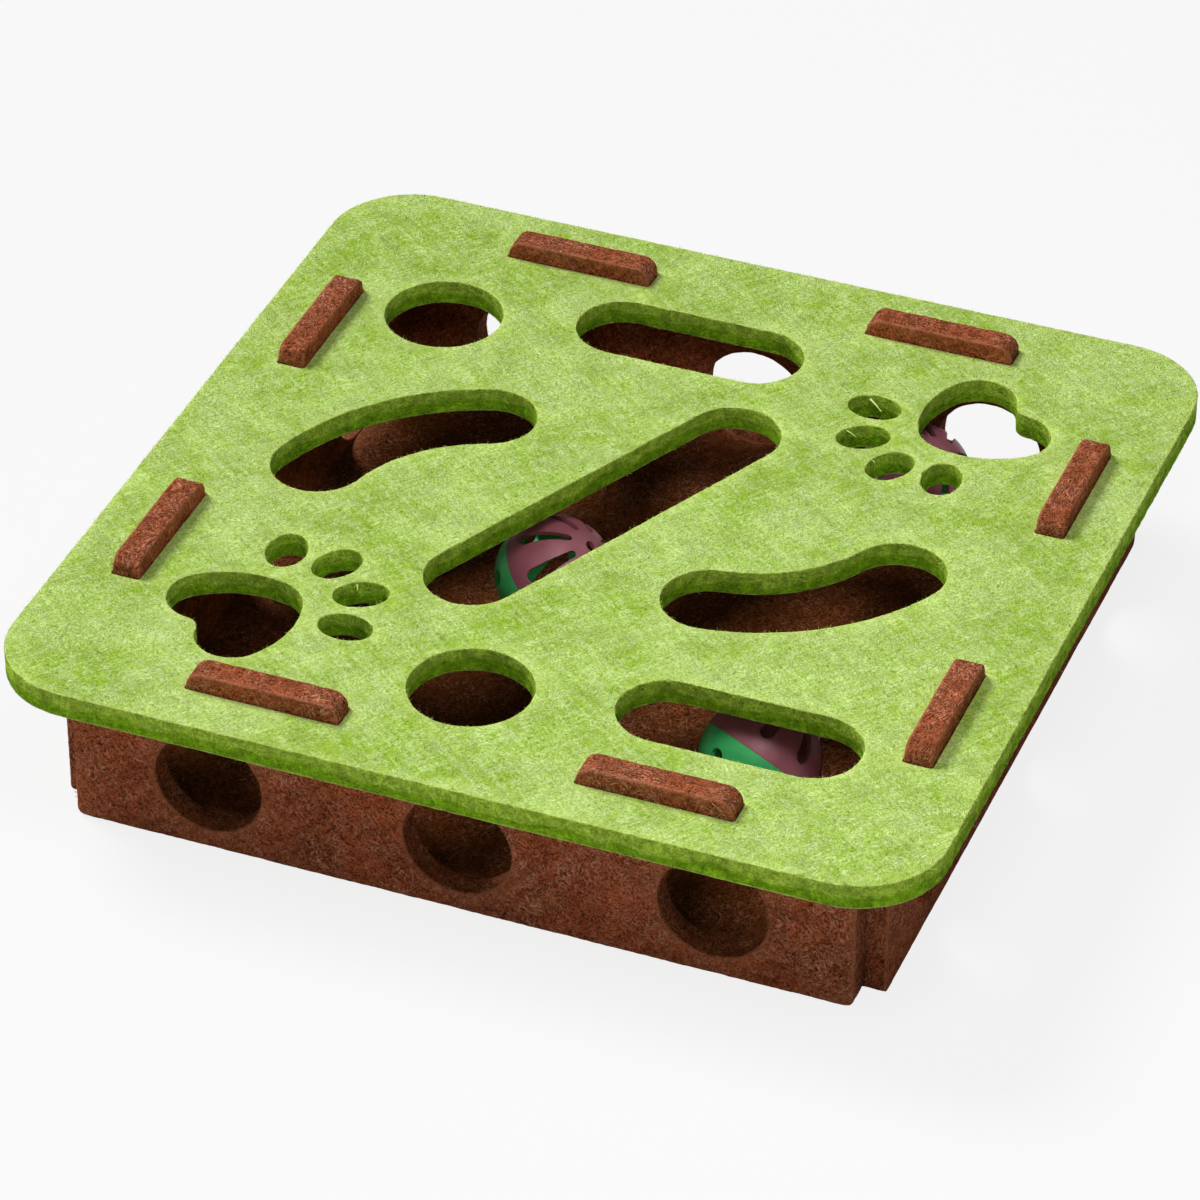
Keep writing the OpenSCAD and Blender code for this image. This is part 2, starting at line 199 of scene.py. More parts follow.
# Shreds that hang in the toes of the lid's paw prints, and threads on a front tab: three points and a width
SHRED_TAPER = (1.0, 0.85, 0.35)
SHREDS = {
    "lid": (
        (((0.0481, 0.0834, 0.0548), (0.0505, 0.0815, 0.0545), (0.0530, 0.0796, 0.0538)), 0.0007),
        (((0.0473, 0.0648, 0.0549), (0.0490, 0.0644, 0.0545), (0.0506, 0.0641, 0.0537)), 0.0005),
        (((0.0593, 0.0532, 0.0549), (0.0600, 0.0529, 0.0546), (0.0606, 0.0525, 0.0540)), 0.0005),
        (((-0.0567, -0.0606, 0.0549), (-0.0563, -0.0614, 0.0546), (-0.0560, -0.0622, 0.0540)), 0.0005),
    ),
    "front_wall": (
        (((0.0755, -0.1243, 0.0596), (0.0785, -0.1246, 0.0580), (0.0803, -0.1250, 0.0556)), 0.00022),
        (((0.0781, -0.1243, 0.0575), (0.0776, -0.1247, 0.0563), (0.0768, -0.1250, 0.0557)), 0.00020),
    ),
}

# Noises of the materials: scale per metre, detail and roughness
TUFT_NOISE = (75.0, 3.0, 0.6)
CLOUD_NOISE = (42.0, 5.0, 0.68)
MAT_NOISE = (300.0, 3.0, 0.65)
GRAIN_NOISE = (1500.0, 2.0, 0.65)
PIT_NOISE = (760.0, 1.0, 0.5)
FUZZ_NOISE = (700.0, 2.0, 0.5)
PLASTIC_NOISE = (120.0, 3.0, 0.5)
RUB_NOISE = (900.0, 4.0, 0.65)
PATCH_NOISE = (420.0, 4.0, 0.6)
METAL_NOISE = (2600.0, 2.0, 0.5)
# Noises in stretched space, whose scale the stretch gives
STREAK_NOISE = (1.0, 1.0, 0.5)
LAYER_NOISE = (1.0, 2.0, 0.6)
# Pattern of the felt
WANDER_SCALE = 110.0  # how finely fibres wander, per metre
WANDER = 0.006  # how far
STRAND_TURNS = (17, 62, 107, 152)  # directions of single fibres, in degrees
BRUSHED = ((-38, 0.017, 0.0014), (52, 0.012, 0.0011))  # turn, length and width of the long streaks
STREAK_SHIFT = (0.013, 0.007, 0.011)  # sets one set of streaks apart from the next
FIRST_BRUSHED_SHIFT = 5
LAYER_LENGTH = 0.0055
LAYER_THICKNESS = 0.0009
LAYER_DARK = 0.76  # brightness of the darkest layer in the cut
LAYER_PALE = 1.10  # and of the palest
PLY_BLUR = 0.0006  # where the outer ply meets the inner one
PLY_SHARE = 0.75  # how far the outer ply has a colour of its own
# Relief of the felt, beside that of its fine grain
STRAND_RELIEF = 0.6
MAT_RELIEF = 0.8
PIT_RELIEF = -0.5
FELT_BUMP = 0.0005

# Balls and bells: linear colours, the main one and the deeper or worn one
BALLS = ("first", "second", "third")
MAUVE_PLASTIC = ((0.45, 0.132, 0.178), (0.36, 0.100, 0.136))
GREEN_PLASTIC = ((0.065, 0.640, 0.185), (0.045, 0.520, 0.140))
PLASTIC_EDGE = 0.00045  # rounding of its edges
BRASS = ((0.83, 0.62, 0.26), (0.55, 0.40, 0.18))
BRASS_ROUGH = 0.22
STEEL = ((0.56, 0.56, 0.57), (0.35, 0.34, 0.33))
STEEL_ROUGH = 0.35
PATCH_ROUGH = 0.25  # how much rougher a dull patch of metal is


def add_object(name, data):
    made = bpy.data.objects.new(name, data)
    bpy.context.scene.collection.objects.link(made)
    return made


# Outlines of the CAD boards
def flat_axes(axis):
    """The two axes of a board's plane."""
    return [i for i in (X, Y, Z) if i != axis]


def cap_loops(node, axis):
    """The closed outlines of a board's flat face, with the material on the left of each."""
    mesh = nodes[node].data
    co = np.array([v.co for v in mesh.vertices])
    top = co[:, axis].max()
    keys = [tuple(k) for k in np.round(co * MICRONS_PER_METRE).astype(int).tolist()]
    place = {k: co[i] for i, k in enumerate(keys)}
    edges = set()
    for poly in mesh.polygons:
        ring = list(poly.vertices)
        if all(abs(co[i][axis] - top) < ON_FACE for i in ring):
            for a, b in zip(ring, ring[1:] + ring[:1]):
                a, b = keys[a], keys[b]
                if (b, a) in edges:
                    edges.remove((b, a))
                else:
                    edges.add((a, b))
    follow = dict(sorted(edges))
    loops = []
    while follow:
        here = min(follow)
        ring = []
        while here in follow:
            ring.append(place[here][flat_axes(axis)])
            here = follow.pop(here)
        loops.append(np.array(ring))
    loops.sort(key=lambda p: -abs(area(p)))
    return [p if (area(p) > 0) == (i == 0) else p[::-1] for i, p in enumerate(loops)]


def area(p):
    """The area in an outline, which is less than 0 where the outline runs clockwise."""
    q = np.roll(p, -1, 0)
    return 0.5 * float(np.sum(p[:, 0] * q[:, 1] - q[:, 0] * p[:, 1]))


def is_slot(loop):
    """Whether an outline is a hole and a plain rectangle, which only the slots of the tabs are."""
    size = np.ptp(loop, axis=0)
    return area(loop) < 0 and abs(area(loop)) > SLOT_FILL * size[0] * size[1]


def resample(loop, step):
    """The same outline with evenly spaced points, its facets smoothed away."""
    closed = np.vstack([loop, loop[:1]])
    along = np.concatenate([[0], np.cumsum(np.linalg.norm(np.diff(closed, axis=0), axis=1))])
    count = max(FEWEST_POINTS, int(round(along[-1] / step)))
    at = np.linspace(0, along[-1], count, endpoint=False)
    p = np.stack([np.interp(at, along, closed[:, k]) for k in range(2)], 1)
    return 0.5 * p + 0.25 * (np.roll(p, 1, 0) + np.roll(p, -1, 0))


def away(p):
    """Unit vectors in the board's plane that point out of the material."""
    t = np.roll(p, -1, 0) - np.roll(p, 1, 0)
    n = np.stack([t[:, 1], -t[:, 0]], 1)
    return n / np.linalg.norm(n, axis=1)[:, None]


def inside(points, loops):
    """Which points lie within the first outline and outside all the others."""
    odd = np.zeros(len(points), bool)
    for p in loops:
        q = np.roll(p, -1, 0)
        for a, b in zip(p, q):
            if a[1] == b[1]:
                continue
            cross = (points[:, 1] > min(a[1], b[1])) & (points[:, 1] <= max(a[1], b[1]))
            x = a[0] + (points[:, 1] - a[1]) * (b[0] - a[0]) / (b[1] - a[1])
            odd ^= cross & (points[:, 0] < x)
    return odd


def clear_of(points, loops, distance):
    """Which points keep a distance from every point of the outlines."""
    border = np.vstack(loops)
    return np.array([np.min(np.sum((border - p) ** 2, 1)) > distance ** 2 for p in points], bool)


def in_space(points, axis, height=0.0):
    """Points or directions of a board's plane in space, with their place along the thickness."""
    space = np.zeros((len(points), 3))
    space[:, flat_axes(axis)] = points
    space[:, axis] = height
    return space


# Felt boards with a soft uneven cut
def ring_noise(rng, count, width):
    """Smooth random numbers round a closed ring, about 1 in size; width is in points."""
    wave = np.fft.rfftfreq(count) * width
    smooth = np.exp(-(wave * NOISE_SOFTNESS) ** 2)
    field = np.fft.irfft(np.fft.rfft(rng.standard_normal(count)) * smooth, count)
    return field / (field.std() + TINY)


def rim_profile(thick, rim):
    """Depth below the upper face and inset from the outline, for each row down the cut."""
    turn = [math.pi / 2 * k / RIM_STEPS for k in range(RIM_STEPS + 1)]
    upper = [(rim * (1 - math.cos(a)), rim * (1 - math.sin(a))) for a in turn]
    side = [(rim + (thick - 2 * rim) * share, 0.0) for share in CUT_AT]
    lower = [(thick - d, i) for d, i in reversed(upper)]
    return upper + side + lower


class FeltMesh:
    """The mesh of one board in the making: its faces, its rounded rims and the rough cut between them."""

    def __init__(self, node, axis, spacing, rounding, seed):
        self.low, self.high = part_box(node)
        self.axis = axis
        self.flat = flat_axes(axis)
        self.thick = self.high[axis] - self.low[axis]
        self.spacing = spacing
        self.rounding = rounding
        self.seed = seed
        self.rng = np.random.default_rng(seed)
        self.loops = [resample(p, spacing) for p in cap_loops(node, axis)]
        self.verts = []
        self.faces = []
        self.cut = []
        self.wear_and_highlight = []

    def sunk(self, p):
        """How far the felt lies inside the solid's face at a point of it."""
        wave = noise.noise((p[0] * WAVES_PER_METRE, p[1] * WAVES_PER_METRE, self.seed * SEED_STEP))
        return SKIN + FACE_WAVE * abs(wave)

    def add_point(self, p, depth, cut=0.0, wear_and_highlight=0.0):
        place = [0.0, 0.0, 0.0]
        place[self.flat[0]] = p[0]
        place[self.flat[1]] = p[1]
        place[self.axis] = self.high[self.axis] - depth
        self.verts.append(place)
        self.cut.append(cut)
        self.wear_and_highlight.append(wear_and_highlight)
        return len(self.verts) - 1

    def add_face_point(self, p, upper):
        return self.add_point(p, self.sunk(p) if upper else self.thick - self.sunk(p))

    def nicks(self, count):
        """How deep the nicks are at each point of an outline, as a share of a full one."""
        depth = np.zeros(count)
        for _ in range(self.rng.poisson(NICKS_PER_METRE * count * self.spacing)):
            gap = (np.arange(count) - self.rng.integers(count)) % count
            gap = np.minimum(gap, count - gap)
            shape = np.exp(-(gap / self.rng.uniform(*NICK_WIDTH)) ** 2)
            depth += shape * self.rng.uniform(*NICK_SHARE)
        return depth

    def add_cut(self, loop):
        """Adds the rows of points down the cut along one outline, and gives the first and the last row."""
        count = len(loop)
        out = away(loop)
        snug = is_slot(loop)
        profile = rim_profile(self.thick, SNUG_ROUND if snug else self.rounding)
        shared = sum(strength * ring_noise(self.rng, count, width) for strength, width in SHARED_NOISE)
        nicks = np.zeros(count) if snug else self.nicks(count)
        base = len(self.verts)
        for row, (depth, inset) in enumerate(profile):
            upper = row <= RIM_STEPS
            lower = row >= ROWS - 1 - RIM_STEPS
            inward = 1 if upper else -1 if lower else 0
            own = ring_noise(self.rng, count, OWN_NOISE)
            size = (RIM_WOBBLE if inward else CUT_WOBBLE) * (SNUG_WOBBLE if snug else 1.0)
            wobble = size * np.clip(1 + SHARED_PART * shared + OWN_PART * own, 0, MOST_WOBBLE)
            move = -inset - SKIN - wobble
            if upper:
                move = move - NICK_DEPTH * np.clip(nicks, 0, MOST_NICK) * (1 - NICK_FADE * row / RIM_STEPS)
            cut = min(row, ROWS - 1 - row, RIM_STEPS) / RIM_STEPS
            for p in loop + out * move[:, None]:
                self.add_point(p, depth + inward * self.sunk(p), cut, ROW_HIGHLIGHT[row])
        rows = [list(range(base + row * count, base + (row + 1) * count)) for row in range(ROWS)]
        for above, below in zip(rows, rows[1:]):
            for k in range(count):
                after = (k + 1) % count
                self.faces.append((above[k], below[k], below[after], above[after]))
        return rows[0], rows[-1]

    def face_grid(self):
        """Loosely spaced points on the board's face, clear of its outlines."""
        xs, ys = (np.arange(self.low[i] + FACE_GRID / 2, self.high[i], FACE_GRID) for i in self.flat)
        grid = np.stack(np.meshgrid(xs, ys), -1).reshape(-1, 2)
        grid = grid + self.rng.uniform(-GRID_JITTER, GRID_JITTER, grid.shape) * FACE_GRID
        grid = grid[inside(grid, self.loops)]
        return grid[clear_of(grid, self.loops, GRID_CLEAR)]

    def add_face(self, rings, grid, upper):
        """Fills one face with triangles between its border rings and the points of the grid."""
        index = [i for ring in rings for i in ring]
        edges = []
        at = 0
        for ring in rings:
            edges += [(at + k, at + (k + 1) % len(ring)) for k in range(len(ring))]
            at += len(ring)
        index += [self.add_face_point(g, upper) for g in grid]
        points = [Vector([self.verts[i][k] for k in self.flat]) for i in index]
        outlines = [np.array([[self.verts[i][k] for k in self.flat] for i in ring]) for ring in rings]
        out_points, _, triangles, sources, _, _ = delaunay_2d_cdt(points, edges, [], 0, TINY)
        middle = np.array([[sum(out_points[i][k] for i in t) / 3 for k in range(2)] for t in triangles])
        ends = [index[source[0]] if source else self.add_face_point(point, upper)
                for point, source in zip(out_points, sources)]
        for within, triangle in zip(inside(middle, outlines), triangles):
            if within:
                self.faces.append(tuple(ends[i] for i in triangle))

    def finished(self, name):
        mesh = bpy.data.meshes.new(name)
        mesh.from_pydata(self.verts, [], self.faces)
        mesh.validate()
        # The first attribute marks the cut faces; the second holds how strongly the rims are painted with a
        # highlight
        for key, values in (("cut", self.cut), ("wear_and_highlight", self.wear_and_highlight)):
            attribute = mesh.attributes.new(key, "FLOAT", "POINT")
            attribute.data.foreach_set("value", np.array(values, np.float32))
        work = bmesh.new()
        work.from_mesh(mesh)
        bmesh.ops.recalc_face_normals(work, faces=work.faces)
        work.to_mesh(mesh)
        work.free()
        mesh.polygons.foreach_set("use_smooth", np.ones(len(mesh.polygons), bool))
        return mesh


def felt_board(node, axis, spacing, rounding, seed):
    """The felt object of one board, and the outlines it was made from."""
    felt = FeltMesh(node, axis, spacing, rounding, seed)
    first_rings, last_rings = zip(*[felt.add_cut(loop) for loop in felt.loops])
    grid = felt.face_grid()
    felt.add_face(first_rings, grid, True)
    felt.add_face(last_rings, grid, False)
    return add_object(node + "_felt", felt.finished(node + "_felt")), felt.loops


# Loose fibres on the felt
def ribbons(start, first, second, length, width, rng):
    """Thin flat fibres of two pieces each: where they start, their two directions, lengths and widths."""
    def unit(v):
        return v / np.linalg.norm(v, axis=1)[:, None]

    first, second = unit(first), unit(second)
    across = unit(np.cross(first, rng.standard_normal(first.shape)))
    half = 0.5 * length[:, None]
    points = (start, start + half * first, start + half * (first + second))
    sides = [p + sign * across * (0.5 * width * share)[:, None]
             for p, share in zip(points, FIBRE_TAPER) for sign in (-1, 1)]
    return np.stack(sides, 1).reshape(-1, 3)


def free_of_joints(points, node, axis, outside):
    """Which points of a wall's outline are free: its tabs' tips, and its ends on the outside if it laps."""
    under, upper = (corner[Z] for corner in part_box("lid"))
    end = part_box(node)[1][flat_axes(axis)[0]]
    tips = points[:, 1] > upper + FIBRE_CLEAR
    laps = axis == Y  # the front and back walls lap over the ends of the others
    ends = (np.abs(points[:, 0]) > end - FIBRE_CLEAR) & (outside and laps)
    ends &= (points[:, 1] > FIBRE_CLEAR) & (points[:, 1] < under - FIBRE_CLEAR)
    return tips | ends


def rim_fibres(node, axis, outer, loops, rng):
    """Fibres that stand off the visible rims of a board, apart from the tabs' slots and the joints."""
    low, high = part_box(node)
    made = []
    for number, loop in enumerate(loops):
        if is_slot(loop):
            continue
        for face in (outer, -outer):
            length = np.linalg.norm(np.roll(loop, -1, 0) - loop, axis=1).sum()
            share = 1.0 if face == outer else INNER_SHARE
            pick = rng.integers(0, len(loop), int(length * FIBRES_PER_METRE * share))
            if axis != Z and number == 0:
                pick = pick[free_of_joints(loop[pick], node, axis, face == outer)]
            count = len(pick)
            normal = away(loop)[pick]
            out = in_space(normal, axis)
            along = in_space(normal[:, ::-1] * (-1, 1), axis)
            up = in_space(np.zeros((count, 2)), axis, face)
            root = (high if face > 0 else low)[axis] - face * rng.uniform(*ROOT_DEPTH, count)
            start = in_space(loop[pick], axis, root) - ROOT_INSET * out
            lean = rng.uniform(*FIBRE_LEAN, (count, 1))
            slant = rng.uniform(*FIBRE_SLANT, (count, 1))
            first = np.cos(lean) * out + np.sin(lean) * up + slant * along
            second = first + rng.uniform(*FIBRE_BEND, (count, 3))
            size = rng.uniform(*FIBRE_LENGTH, count)
            width = rng.uniform(*FIBRE_WIDTH, count)
            made.append(ribbons(start, first, second, size, width, rng))
    return made


def lying_fibres(node, axis, outer, loops, tone, rng):
    """Longer fibres that lie matted on the outer face of a board."""
    low, high = (np.array(corner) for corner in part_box(node))
    flat = flat_axes(axis)
    size = (high - low)[flat]
    points = low[flat] + rng.uniform(0, 1, (int(size[0] * size[1] * tone["loose"]), 2)) * size
    points = points[inside(points, loops)]
    points = points[clear_of(points, loops, FIBRE_CLEAR)]
    if axis != Z:
        points = points[points[:, 1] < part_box("lid")[0][Z] - FIBRE_CLEAR]
    count = len(points)
    turn = rng.uniform(0, 2 * math.pi, count)
    bend = turn + rng.normal(0, LYING_BEND, count)
    rise = outer * rng.uniform(*LYING_RISE, count)
    fall = -outer * rng.uniform(*LYING_FALL, count)
    start = in_space(points, axis, (high if outer > 0 else low)[axis] - outer * LYING_DEPTH)
    first = in_space(np.stack([np.cos(turn), np.sin(turn)], 1), axis, rise)
    second = in_space(np.stack([np.cos(bend), np.sin(bend)], 1), axis, fall)
    length = rng.uniform(*tone["loose_length"], count)
    width = rng.uniform(*LYING_WIDTH, count)
    return [ribbons(start, first, second, length, width, rng)]


def shred(points, width):
    """One loose shred of felt along three points, narrowing to its tip, in the same form as the fibres."""
    points = np.array(points)
    across = np.cross(points[-1] - points[0], (0, 0, 1))
    across = across / np.linalg.norm(across)
    return np.concatenate([[p - across * width * share / 2, p + across * width * share / 2]
                           for p, share in zip(points, SHRED_TAPER)])


def fuzz_object(node, strands):
    """One object of all a board's fibres, which have six points and two faces each."""
    verts = np.vstack(strands)
    first = np.arange(0, len(verts), 2 * len(FIBRE_TAPER))[:, None, None]
    faces = (first + np.array([[0, 1, 3, 2], [2, 3, 5, 4]])).reshape(-1, 4)
    mesh = bpy.data.meshes.new(node + "_fuzz")
    mesh.from_pydata(verts.tolist(), [], faces.tolist())
    return add_object(node + "_fuzz", mesh)


# Shader helpers
class Shader:
    """The nodes of a material or a world in the making: a call adds nodes and links what it is given."""

    def __init__(self, owner, surface="Principled BSDF"):
        owner.use_nodes = True
        self.owner = owner
        self.tree = owner.node_tree
        self.surface = self.tree.nodes[surface]

    def add(self, kind, settings=None, **inputs):
        """Adds a node; an input is given by its name, or by i and its number."""
        made = self.tree.nodes.new(kind)
        for key, value in (settings or {}).items():
            setattr(made, key, value)
        for key, value in inputs.items():
            numbered = key[0] == "i" and key[1:].isdigit()
            self.feed(made.inputs[int(key[1:]) if numbered else key], value)
        return made

    def feed(self, socket, value):
        if isinstance(value, bpy.types.NodeSocket):
            self.tree.links.new(value, socket)
        else:
            socket.default_value = value

    def place(self):
        return self.add("ShaderNodeTexCoord").outputs["Object"]

    def attribute(self, name):
        return self.add("ShaderNodeAttribute", {"attribute_name": name}).outputs["Fac"]

    def math(self, operation, a, b):
        return self.add("ShaderNodeMath", {"operation": operation}, i0=a, i1=b).outputs[0]

    def vector(self, operation, a, **inputs):
        return self.add("ShaderNodeVectorMath", {"operation": operation}, i0=a, **inputs).outputs[0]

    def spread(self, value, low, high, to_low=0.0, to_high=1.0):
        """Takes the range from low to high smoothly to the range from to_low to to_high."""
        settings = {"interpolation_type": "SMOOTHSTEP"}
        made = self.add("ShaderNodeMapRange", settings, i0=value, i1=low, i2=high, i3=to_low, i4=to_high)
        return made.outputs[0]

    def mix(self, share, a, b, blend="MIX"):
        """Mixes two colours, each a socket or three numbers."""
        a, b = (c if isinstance(c, bpy.types.NodeSocket) else (*c, 1.0) for c in (a, b))
        made = self.add("ShaderNodeMix", {"data_type": "RGBA", "blend_type": blend}, i0=share, i6=a, i7=b)
        return made.outputs[2]

    def shade(self, colour, red, green, blue):
        """Multiplies each channel of a colour."""
        factor = self.add("ShaderNodeCombineColor", i0=red, i1=green, i2=blue).outputs[0]
        return self.mix(1.0, colour, factor, "MULTIPLY")

    def noise(self, vector, scale, detail, rough):
        made = self.add("ShaderNodeTexNoise", Vector=vector, Scale=scale, Detail=detail, Roughness=rough)
        return made.outputs["Fac"]

    def stretched(self, vector, scale, **inputs):
        """Space in which one unit is as long as the scale says for each axis."""
        settings = {"vector_type": "TEXTURE"}
        return self.add("ShaderNodeMapping", settings, Vector=vector, Scale=scale, **inputs).outputs[0]

    def bump(self, height, strength, distance, **inputs):
        made = self.add("ShaderNodeBump", Strength=strength, Distance=distance, Height=height, **inputs)
        return made.outputs[0]

    def finished(self, sockets):
        """Fills the surface's sockets by name and gives the material or world."""
        for name, value in sockets.items():
            self.feed(self.surface.inputs[name], value)
        return self.owner

    def show_white(self, emitter, output, share):
        """Mixes a share of white into what the camera, gloss and glass see, and into no other ray."""
        path = self.add("ShaderNodeLightPath").outputs
        seen = path["Is Camera Ray"]
        for ray in ("Is Glossy Ray", "Is Transmission Ray"):
            seen = self.math("MAXIMUM", seen, path[ray])
        seen = self.math("MULTIPLY", seen, share)
        white = self.add(emitter, Color=WHITE, Strength=1.0).outputs[0]
        blend = self.add("ShaderNodeMixShader", i0=seen, i1=self.surface.outputs[0], i2=white)
        self.feed(self.tree.nodes[output].inputs["Surface"], blend.outputs[0])


# Felt material
class FeltPattern:
    """The noises that the parts of a felt share, on a board whose thickness runs along an axis."""

    def __init__(self, shader, axis):
        self.shader = shader
        self.axis = axis
        self.place = shader.place()
        wander = shader.add("ShaderNodeTexNoise", Vector=self.place, Scale=WANDER_SCALE, Detail=1.0)
        wander = shader.vector("SUBTRACT", wander.outputs["Color"], i1=(0.5, 0.5, 0.5))
        self.bent = shader.vector("ADD", self.place, i1=shader.vector("SCALE", wander, Scale=WANDER))
        self.matted = shader.noise(self.place, *MAT_NOISE)
        self.fine = shader.noise(self.bent, *GRAIN_NOISE)
        self.pits = shader.spread(shader.noise(self.place, *PIT_NOISE), low=0.62, high=0.74)

    def streaks(self, vector, turn, length, width, shift):
        """Noise drawn out along one direction of the board's plane."""
        scale = [width, width, width]
        scale[flat_axes(self.axis)[0]] = length
        angle = [0.0, 0.0, 0.0]
        angle[self.axis] = math.radians(turn)
        location = [step * shift for step in STREAK_SHIFT]
        turned = self.shader.stretched(vector, scale, Rotation=angle, Location=location)
        return self.shader.noise(turned, *STREAK_NOISE)

    def strands(self, tone):
        """Where single fibres show: in four directions, and more in some tufts than in others."""
        s = self.shader
        found = None
        for shift, turn in enumerate(STRAND_TURNS):
            streak = s.spread(self.streaks(self.bent, turn, *tone["strand"], shift), *tone["strands_from"])
            found = streak if found is None else s.math("MAXIMUM", found, streak)
        tufts = s.spread(s.noise(self.place, *TUFT_NOISE), low=0.38, high=0.62, to_low=0.25)
        return s.math("MULTIPLY", found, tufts)

    def face_colour(self, tone):
        """The mottled face: clouds, matted fibre and long brushed streaks."""
        s = self.shader
        clouds = s.spread(s.noise(self.place, *CLOUD_NOISE), low=0.34, high=0.62)
        first, second = (self.streaks(self.place, *streak, shift)
                         for shift, streak in enumerate(BRUSHED, FIRST_BRUSHED_SHIFT))
        brushed = s.math("ADD", first, second)
        colour = s.mix(clouds, tone["deep"], tone["base"])
        colour = s.mix(s.spread(self.matted, low=0.42, high=0.70, to_high=0.6), colour, tone["pale"])
        colour = s.mix(s.spread(brushed, low=0.98, high=1.25, to_high=0.45), colour, tone["pale"])
        return s.mix(s.spread(brushed, low=1.00, high=0.75, to_high=0.40), colour, tone["deep"])

    def cut_colour(self, tone, ply):
        """The cut: thin layers of felt, darker partly as painted shade, and the outer ply in a colour of
        its own.
        """
        s = self.shader
        scale = [LAYER_LENGTH, LAYER_LENGTH, LAYER_LENGTH]
        scale[self.axis] = LAYER_THICKNESS
        layers = s.spread(s.noise(s.stretched(self.bent, scale), *LAYER_NOISE), low=0.25, high=0.75)
        dark, pale = ([share * c for c in tone["cut"]] for share in (LAYER_DARK, LAYER_PALE))
        colour = s.mix(layers, dark, pale)
        colour = s.mix(s.math("MULTIPLY", ply, PLY_SHARE), colour, tone["outer_cut"])
        rough = s.spread(self.matted, low=0.33, high=0.67, to_low=0.70, to_high=1.25)
        return s.shade(colour, rough, rough, rough)


def felt_material(name, tone, axis, outer, middle):
    """Needle felt: matted fibres in every direction of the board's plane, mottled, with a layered cut that
    is partly painted shade, and a painted highlight along the rims.
    """
    s = Shader(bpy.data.materials.new(name))
    felt = FeltPattern(s, axis)
    strands = felt.strands(tone)
    across = s.add("ShaderNodeSeparateXYZ", Vector=felt.bent).outputs[axis]
    ply = s.spread(across, middle - outer * PLY_BLUR, middle + outer * PLY_BLUR)
    cut = s.attribute("cut")
    colour = s.mix(cut, felt.face_colour(tone), felt.cut_colour(tone, ply))
    dark, bright = tone["grain"]
    grain = s.spread(felt.fine, low=0.30, high=0.70, to_low=dark, to_high=bright)
    pitted = s.math("SUBTRACT", 1.0, s.math("MULTIPLY", felt.pits, tone["pits"]))
    grain = s.math("MULTIPLY", grain, pitted)
    colour = s.shade(colour, grain, grain, s.math("MULTIPLY", grain, grain))
    on_face = s.spread(ply, 0.0, 1.0, tone["inner_fibres"], tone["fibres"])
    showing = s.math("MULTIPLY", strands, s.spread(cut, 0.0, 1.0, on_face, tone["cut_fibres"]))
    colour = s.mix(showing, colour, tone["fleck"])
    # Painted highlight along the rims, stronger in some places than in others
    wear_and_highlight = s.spread(felt.matted, low=0.30, high=0.60, to_low=0.25, to_high=0.75)
    colour = s.mix(s.math("MULTIPLY", s.attribute("wear_and_highlight"), wear_and_highlight), colour, tone["rim"])
    height = felt.fine
    for part, relief in ((strands, STRAND_RELIEF), (felt.matted, MAT_RELIEF), (felt.pits, PIT_RELIEF)):
        height = s.math("ADD", height, s.math("MULTIPLY", part, relief))
    return s.finished({
        "Base Color": colour,
        "Normal": s.bump(height, strength=0.9, distance=FELT_BUMP),
        "Roughness": 0.95,
        "Specular IOR Level": 0.04,
    })


def fuzz_material(name, tone):
    """Loose fibres of the felt, each of a slightly different shade."""
    s = Shader(bpy.data.materials.new(name))
    shade = s.spread(s.noise(s.place(), *FUZZ_NOISE), low=0.35, high=0.65)
    return s.finished({
        "Base Color": s.mix(shade, *tone["fuzz"]),
        "Roughness": s.spread(shade, 0.0, 1.0, to_low=0.80, to_high=0.95),
        "Specular IOR Level": 0.1,
    })


# Plastic and metal
def plastic_material(name, colour, deep):
    """Moulded plastic: satin, faintly clouded, with fine handling marks and softened edges."""
    s = Shader(bpy.data.materials.new(name))
    place = s.place()
    cloud = s.spread(s.noise(place, *PLASTIC_NOISE), low=0.35, high=0.70)
    rub = s.noise(place, *RUB_NOISE)
    soft = s.add("ShaderNodeBevel", {"samples": 4}, Radius=PLASTIC_EDGE).outputs[0]
    return s.finished({
        "Base Color": s.mix(cloud, deep, colour),
        "Roughness": s.spread(rub, low=0.3, high=0.75, to_low=0.40, to_high=0.56),
        "Normal": s.bump(rub, strength=0.08, distance=0.0002, Normal=soft),
        "Subsurface Weight": 0.08,
        "Subsurface Radius": (0.002, 0.001, 0.001),
        "Coat Weight": 0.05,
        "Coat Roughness": 0.25,
    })


def metal_material(name, colour, wear_and_highlight, rough):
    """Pressed sheet metal with dull patches."""
    s = Shader(bpy.data.materials.new(name))
    place = s.place()
    patch = s.spread(s.noise(place, *PATCH_NOISE), low=0.40, high=0.70)
    return s.finished({
        "Base Color": s.mix(patch, colour, wear_and_highlight),
        "Roughness": s.math("ADD", s.math("MULTIPLY", patch, PATCH_ROUGH), rough),
        "Normal": s.bump(s.noise(place, *METAL_NOISE), strength=0.1, distance=0.0001),
        "Metallic": 1.0,
    })


# Studio
def paper_floor():
    """A wide sheet of paper that keeps the object's shadow and otherwise shows as nearly white."""
    paper = Shader(bpy.data.materials.new("studio_paper"))
    paper.show_white("ShaderNodeEmission", "Material Output", PAPER_GLOW)
    mesh = bpy.data.meshes.new("studio_floor")
    corners = ((-1, -1), (1, -1), (1, 1), (-1, 1))
    mesh.from_pydata([(x * FLOOR_HALF, y * FLOOR_HALF, 0.0) for x, y in corners], [], [(0, 1, 2, 3)])
    mesh.materials.append(paper.finished({
        "Base Color": PAPER_GREY,
        "Roughness": 0.9,
        "Specular IOR Level": 0.1,
    }))
    return add_object("studio_floor", mesh)


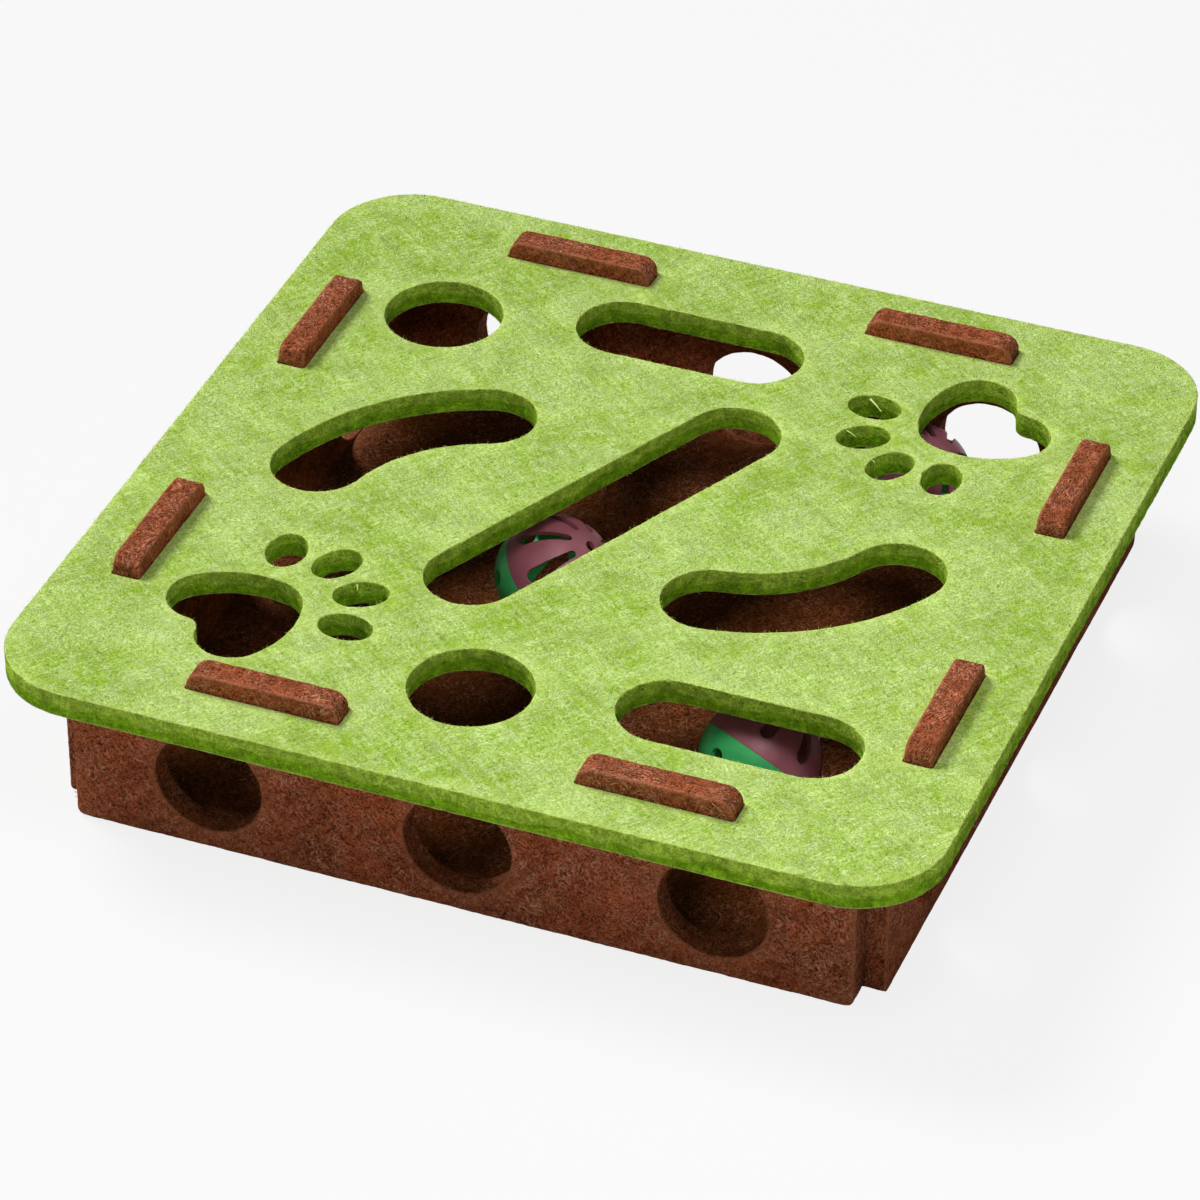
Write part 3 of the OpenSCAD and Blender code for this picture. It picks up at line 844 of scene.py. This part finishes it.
def studio_world():
    """Faint light from all round, from a world that itself shows as white."""
    sky = Shader(bpy.data.worlds.new("studio_world"), "Background")
    sky.show_white("ShaderNodeBackground", "World Output", 1.0)
    return sky.finished({"Color": WHITE, "Strength": AMBIENT})


def area_lamp(name, at, target, size, power):
    lamp = bpy.data.lights.new(name, "AREA")
    lamp.shape = "DISK"
    lamp.size = size
    lamp.energy = power
    made = add_object(name, lamp)
    made.location = at
    made.rotation_euler = (Vector(target) - Vector(at)).to_track_quat("-Z", "Y").to_euler()


def photo_camera():
    """The camera at the photograph's viewing angle."""
    data = bpy.data.cameras.new("camera")
    data.sensor_width = CAMERA_SENSOR
    data.lens = CAMERA_LENS
    data.clip_start, data.clip_end = CAMERA_CLIP
    camera = add_object("camera", data)
    camera.matrix_world = (
        Matrix.Translation(CAMERA_AT)
        @ Matrix.Rotation(math.radians(CAMERA_HEADING), 4, "Z")
        @ Matrix.Rotation(math.radians(90 - CAMERA_DOWN), 4, "X")
        @ Matrix.Rotation(math.radians(CAMERA_ROLL), 4, "Z")
    )
    return camera


# The felt boards stand for the CAD boards, and all but the floor board have loose fibres
for seed, node in enumerate(BOARDS, FIRST_SEED):
    axis, outer, body, slot, tone, spacing, rounding = BOARDS[node]
    board, loops = felt_board(node, axis, spacing, rounding, seed)
    middle = sum(corner[axis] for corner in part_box(node)) / 2
    board.data.materials.append(felt_material(node + "_felt", tone, axis, outer, middle))
    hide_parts(node)
    dressed = [board]
    if node != "floor_board":
        rng = np.random.default_rng(seed + FIBRE_SEED)
        strands = rim_fibres(node, axis, outer, loops, rng)
        strands += lying_fibres(node, axis, outer, loops, tone, rng)
        strands += [shred(points, width) for points, width in SHREDS.get(node, ())]
        fuzz = fuzz_object(node, strands)
        fuzz.data.materials.append(fuzz_material(node + "_fuzz", tone))
        dressed.append(fuzz)
    for piece in dressed:
        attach(piece, body)

# Balls and bells keep their CAD shapes
brass = metal_material("bell_sheet", *BRASS, BRASS_ROUGH)
ball_looks = {
    "mauve_half": plastic_material("mauve_plastic_moulded", *MAUVE_PLASTIC),
    "green_half": plastic_material("green_plastic_moulded", *GREEN_PLASTIC),
    "bell_cap": brass,
    "bell_cup": brass,
    "pellet": metal_material("pellet_shot", *STEEL, STEEL_ROUGH),
}
for ball in BALLS:
    for piece, material in ball_looks.items():
        mesh = nodes[f"{ball}_ball_{piece}"].data
        mesh.materials.clear()
        mesh.materials.append(material)

# The scene round the object
floor = paper_floor()
for name, settings in LAMPS.items():
    area_lamp(name, *settings)
bpy.context.scene.world = studio_world()
bpy.context.scene.camera = photo_camera()
bpy.context.scene.view_settings.view_transform = "Standard"
